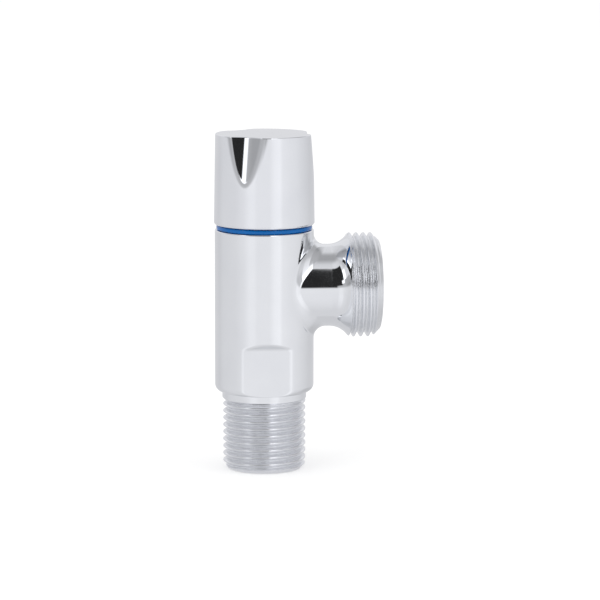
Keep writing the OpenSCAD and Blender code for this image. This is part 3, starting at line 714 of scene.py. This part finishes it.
def makeRing():
    skin = []
    middle = (ring["in"], (ring["low"] + ring["high"]) / 2)
    addTurned(skin, [middle, (ring["in"], ring["low"], ring["innerEdge"]),
                     (ring["out"], ring["low"], ring["edge"]), (ring["out"], ring["high"], ring["edge"]),
                     (ring["in"], ring["high"], ring["innerEdge"]), middle], stepsTo(0, 360, ring["turn"]))
    return makePiece("indicatorRingBlue", skin, ["blueRing"], "root", "indicator_ring")


body = makeBody()
knobPiece = makeKnob()
ringPiece = makeRing()

# the pieces of the headwork keep their CAD shapes
inner = {
    "turnedBrass": ["headwork_housing", "spindle"],
    "blackRubber": ["housing_o_ring", "spindle_o_ring_lower", "spindle_o_ring_upper", "seat_seal"],
    "whiteAcetal": ["slip_washer", "seal_support_ring", "spline_insert"],
    "springSteel": ["stop_ring", "spindle_clip", "grip_ring"],
    "lappedCeramic": ["rotating_disc", "fixed_disc"],
}
for look, nodes in inner.items():
    for node in nodes:
        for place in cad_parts[node].material_slots:
            place.material = finishes[look]
print("headwork dressed")

# camera: focal is in pixels of a picture that is frame pixels wide, sensor in millimetres, distance
# and aimZ in metres, and the angles in degrees
shot = {"focal": 3200, "frame": 600, "sensor": 36, "distance": 0.809, "elevation": 8.78, "yaw": 5.0,
        "aimZ": 0.043, "shiftX": 0.0595, "shiftY": -0.0013}


def makeCamera():
    data = bpy.data.cameras.new("camera")
    camera = bpy.data.objects.new("camera", data)
    bpy.context.collection.objects.link(camera)
    e, a = math.radians(shot["elevation"]), math.radians(shot["yaw"])
    back = Vector((-math.sin(a) * math.cos(e), -math.cos(a) * math.cos(e), math.sin(e)))
    camera.location = Vector((0, 0, shot["aimZ"])) + back * shot["distance"]
    camera.rotation_mode = "QUATERNION"
    camera.rotation_quaternion = (-back).to_track_quat("-Z", "Y")
    data.sensor_width = shot["sensor"]
    data.lens = shot["sensor"] * shot["focal"] / shot["frame"]
    data.shift_x, data.shift_y = shot["shiftX"], shot["shiftY"]
    bpy.context.scene.camera = camera


makeCamera()
print("camera placed")

# studio: each band starts at a height in degrees and gives (direction, brightness); direction 0 is the
# camera's side, and positive is to the right in the picture
studio = [
    {"from": -48.0, "soft": 24.0,  # apron
     "stops": [(-180, 0.70), (-150, 0.68), (-128, 0.68), (-110, 0.74), (-70, 0.76), (-48, 0.84),
               (-40, 0.95), (-24, 0.95), (-16, 0.87), (12, 0.87), (19, 1.02), (34, 1.02), (44, 0.90),
               (60, 0.86), (80, 0.80), (104, 0.72), (118, 0.58), (150, 0.58), (180, 0.70)]},
    {"from": -16.0, "soft": 3.0,  # table
     "stops": [(-180, 0.74), (-150, 0.70), (-128, 0.68), (-110, 0.74), (-70, 0.77), (-48, 0.84),
               (-34, 0.93), (-24, 0.93), (-16, 0.88), (12, 0.88), (24, 0.97), (36, 1.0), (44, 0.90),
               (60, 0.86), (80, 0.83), (104, 0.76), (128, 0.68), (150, 0.68), (180, 0.74)]},
    {"from": -0.5, "soft": 2.8,  # skirting
     "stops": [(-180, 0.85), (-115, 0.80), (-102, 0.40), (-74, 0.34), (-62, 0.42), (-52, 0.52),
               (-22, 0.50), (-14, 0.42), (-10, 0.022), (15, 0.022), (16.5, 1.2), (20, 1.2), (23, 0.62),
               (44, 0.60), (60, 0.70), (70, 0.70), (84, 0.55), (104, 0.50), (118, 0.85), (180, 0.85)]},
    {"from": 4.6, "soft": 1.0,  # camera side
     "stops": [(-180, 0.75), (-115, 0.76), (-104, 0.66), (-95, 0.50), (-88, 0.40), (-70, 0.40),
               (-54, 0.46), (-41, 0.48), (-39, 0.022), (15, 0.022), (16.5, 1.4), (20, 1.4), (23, 0.62),
               (44, 0.62), (56, 0.75), (66, 0.72), (80, 0.55), (104, 0.50), (118, 0.76), (180, 0.75)]},
    {"from": 8.0, "soft": 1.0,  # strip light
     "stops": [(-180, 0.75), (-115, 0.76), (-104, 0.66), (-95, 0.50), (-88, 0.40), (-70, 0.40),
               (-53, 0.46), (-49, 1.35), (-38, 1.35), (-36, 0.022), (15, 0.022), (16.5, 1.4), (20, 1.4),
               (23, 0.62), (44, 0.62), (56, 0.75), (66, 0.72), (80, 0.55), (104, 0.50), (118, 0.76),
               (180, 0.75)]},
    {"from": 15.5, "soft": 1.5,  # rail
     "stops": [(-180, 0.85), (-120, 0.80), (-104, 0.60), (-84, 0.74), (-64, 0.76), (-56, 1.7),
               (-48, 1.7), (-46.5, 0.022), (15, 0.022), (16.5, 2.2), (30, 2.2), (35, 1.1), (50, 0.95),
               (64, 0.85), (80, 0.58), (104, 0.45), (124, 0.45), (140, 0.85), (180, 0.85)]},
    {"from": 37.0, "soft": 2.0,  # upper
     "stops": [(-180, 0.80), (-120, 0.60), (-104, 0.38), (-90, 0.50), (-64, 0.62), (-54, 0.80),
               (-48, 0.84), (-45, 0.022), (15, 0.022), (17, 1.6), (36, 1.4), (46, 0.62), (60, 0.50),
               (104, 0.42), (124, 0.34), (150, 0.60), (180, 0.80)]},
    {"from": 53.5, "soft": 1.5,  # cornice
     "stops": [(-180, 0.80), (-100, 0.48), (-76, 0.56), (-64, 0.64), (-40, 0.76), (-10, 0.82),
               (14, 0.80), (22, 0.70), (34, 0.66), (46, 0.50), (100, 0.44), (130, 0.42), (160, 0.70),
               (180, 0.80)]},
    {"from": 74.0, "soft": 10.0,  # ceiling
     "stops": [(-180, 0.42), (0, 0.40), (180, 0.42)]},
]
# under all bands
below = [(-180, 0.68), (-120, 0.68), (-90, 0.75), (90, 0.75), (120, 0.68), (180, 0.68)]
worldLook = {"fill": 0.8, "tint": (0.995, 1, 1.03)}


def makeWorld():
    world = bpy.data.worlds.new("studio")
    bpy.context.scene.world = world
    world.use_nodes = True
    nodes, links = world.node_tree.nodes, world.node_tree.links
    nodes.clear()

    def compute(kind, a, b=None):
        node = nodes.new("ShaderNodeMath")
        node.operation = kind
        for socket, value in zip(node.inputs, (a, b)):
            if isinstance(value, (int, float)):
                socket.default_value = value
            elif value is not None:
                links.new(value, socket)
        return node.outputs[0]

    place = nodes.new("ShaderNodeTexCoord")
    parts = nodes.new("ShaderNodeSeparateXYZ")
    links.new(place.outputs["Generated"], parts.inputs[0])
    x, y, z = parts.outputs
    # the camera side lies at yaw degrees left of -Y
    turn = compute("ARCTAN2", x, compute("MULTIPLY", y, -1))
    turn = compute("ADD", turn, math.radians(shot["yaw"]))
    share = compute("FRACT", compute("ADD", compute("DIVIDE", turn, 2 * math.pi), 0.5))
    height = compute("DIVIDE", compute("ARCSINE", z), math.pi / 180)

    def ramp(stops):
        node = nodes.new("ShaderNodeValToRGB")
        cr = node.color_ramp
        while len(cr.elements) > 1:
            cr.elements.remove(cr.elements[0])
        for i, (angle, level) in enumerate(stops):
            spot = (angle + 180) / 360
            e = cr.elements[0] if i == 0 else cr.elements.new(spot)
            e.position = spot
            e.color = (*(level * part for part in worldLook["tint"]), 1)
        links.new(share, node.inputs["Fac"])
        return node.outputs["Color"]

    def step(edge, soft):
        node = nodes.new("ShaderNodeMapRange")
        node.interpolation_type = "SMOOTHSTEP"
        node.inputs["From Min"].default_value = edge - soft
        node.inputs["From Max"].default_value = edge + soft
        links.new(height, node.inputs["Value"])
        return node.outputs["Result"]

    def mix(fac, a, b):
        node = nodes.new("ShaderNodeMix")
        node.data_type = "RGBA"
        links.new(fac, node.inputs["Factor"])
        links.new(a, node.inputs["A"])
        links.new(b, node.inputs["B"])
        return node.outputs["Result"]

    def background(strength=1.0):
        node = nodes.new("ShaderNodeBackground")
        node.inputs["Color"].default_value = (1, 1, 1, 1)
        node.inputs["Strength"].default_value = strength
        return node

    def choose(fac, a, b):
        node = nodes.new("ShaderNodeMixShader")
        links.new(fac, node.inputs["Fac"])
        links.new(a.outputs[0], node.inputs[1])
        links.new(b.outputs[0], node.inputs[2])
        return node

    tone = ramp(below)
    for band in studio:
        tone = mix(step(band["from"], band["soft"]), tone, ramp(band["stops"]))
    mirrored = background()
    links.new(tone, mirrored.inputs["Color"])
    rays = nodes.new("ShaderNodeLightPath")
    # metal mirrors the studio, the camera sees white, and the rest is an even fill
    lit = choose(rays.outputs["Is Glossy Ray"], background(worldLook["fill"]), mirrored)
    direct = compute("MAXIMUM", rays.outputs["Is Camera Ray"], rays.outputs["Is Transmission Ray"])
    seen = choose(direct, lit, background())
    output = nodes.new("ShaderNodeOutputWorld")
    links.new(seen.outputs[0], output.inputs["Surface"])


makeWorld()

# floor: it lies a little under the foot, and glows a little so that it stays pale
floorLook = {"size": 6.0, "drop": 0.0002, "tone": (0.9, 0.9, 0.9), "rough": 0.9, "glow": 0.29}


def makeFloor():
    mesh = bpy.data.meshes.new("floor")
    s = floorLook["size"] / 2
    mesh.from_pydata([(-s, -s, 0), (s, -s, 0), (s, s, 0), (-s, s, 0)], [], [(0, 1, 2, 3)])
    floor = bpy.data.objects.new("floor", mesh)
    bpy.context.collection.objects.link(floor)
    floor.location.z = cadLow.z - floorLook["drop"]
    material, _, _, shader, _ = newMaterial("paleFloor")
    shader.inputs["Base Color"].default_value = (*floorLook["tone"], 1)
    shader.inputs["Roughness"].default_value = floorLook["rough"]
    shader.inputs["Specular IOR Level"].default_value = 0.0
    shader.inputs["Emission Color"].default_value = (1, 1, 1, 1)
    shader.inputs["Emission Strength"].default_value = floorLook["glow"]
    mesh.materials.append(material)
    floor.visible_glossy = False


makeFloor()

# lamps: soft light from both sides, which metal doesn't mirror
lampAim = Vector((0, 0, 0.04))
lamps = [
    {"name": "softLeft", "at": (-0.9, -0.7, 1.3), "size": 1.2, "power": 3.0},
    {"name": "softRight", "at": (1.0, -0.6, 1.1), "size": 1.0, "power": 1.8},
]
for lamp in lamps:
    data = bpy.data.lights.new(lamp["name"], "AREA")
    data.size, data.energy = lamp["size"], lamp["power"]
    obj = bpy.data.objects.new(lamp["name"], data)
    bpy.context.collection.objects.link(obj)
    obj.location = lamp["at"]
    obj.rotation_mode = "QUATERNION"
    obj.rotation_quaternion = (lampAim - obj.location).to_track_quat("-Z", "Y")
    obj.visible_glossy = False

bpy.context.scene.view_settings.view_transform = "Standard"
print("studio ready")
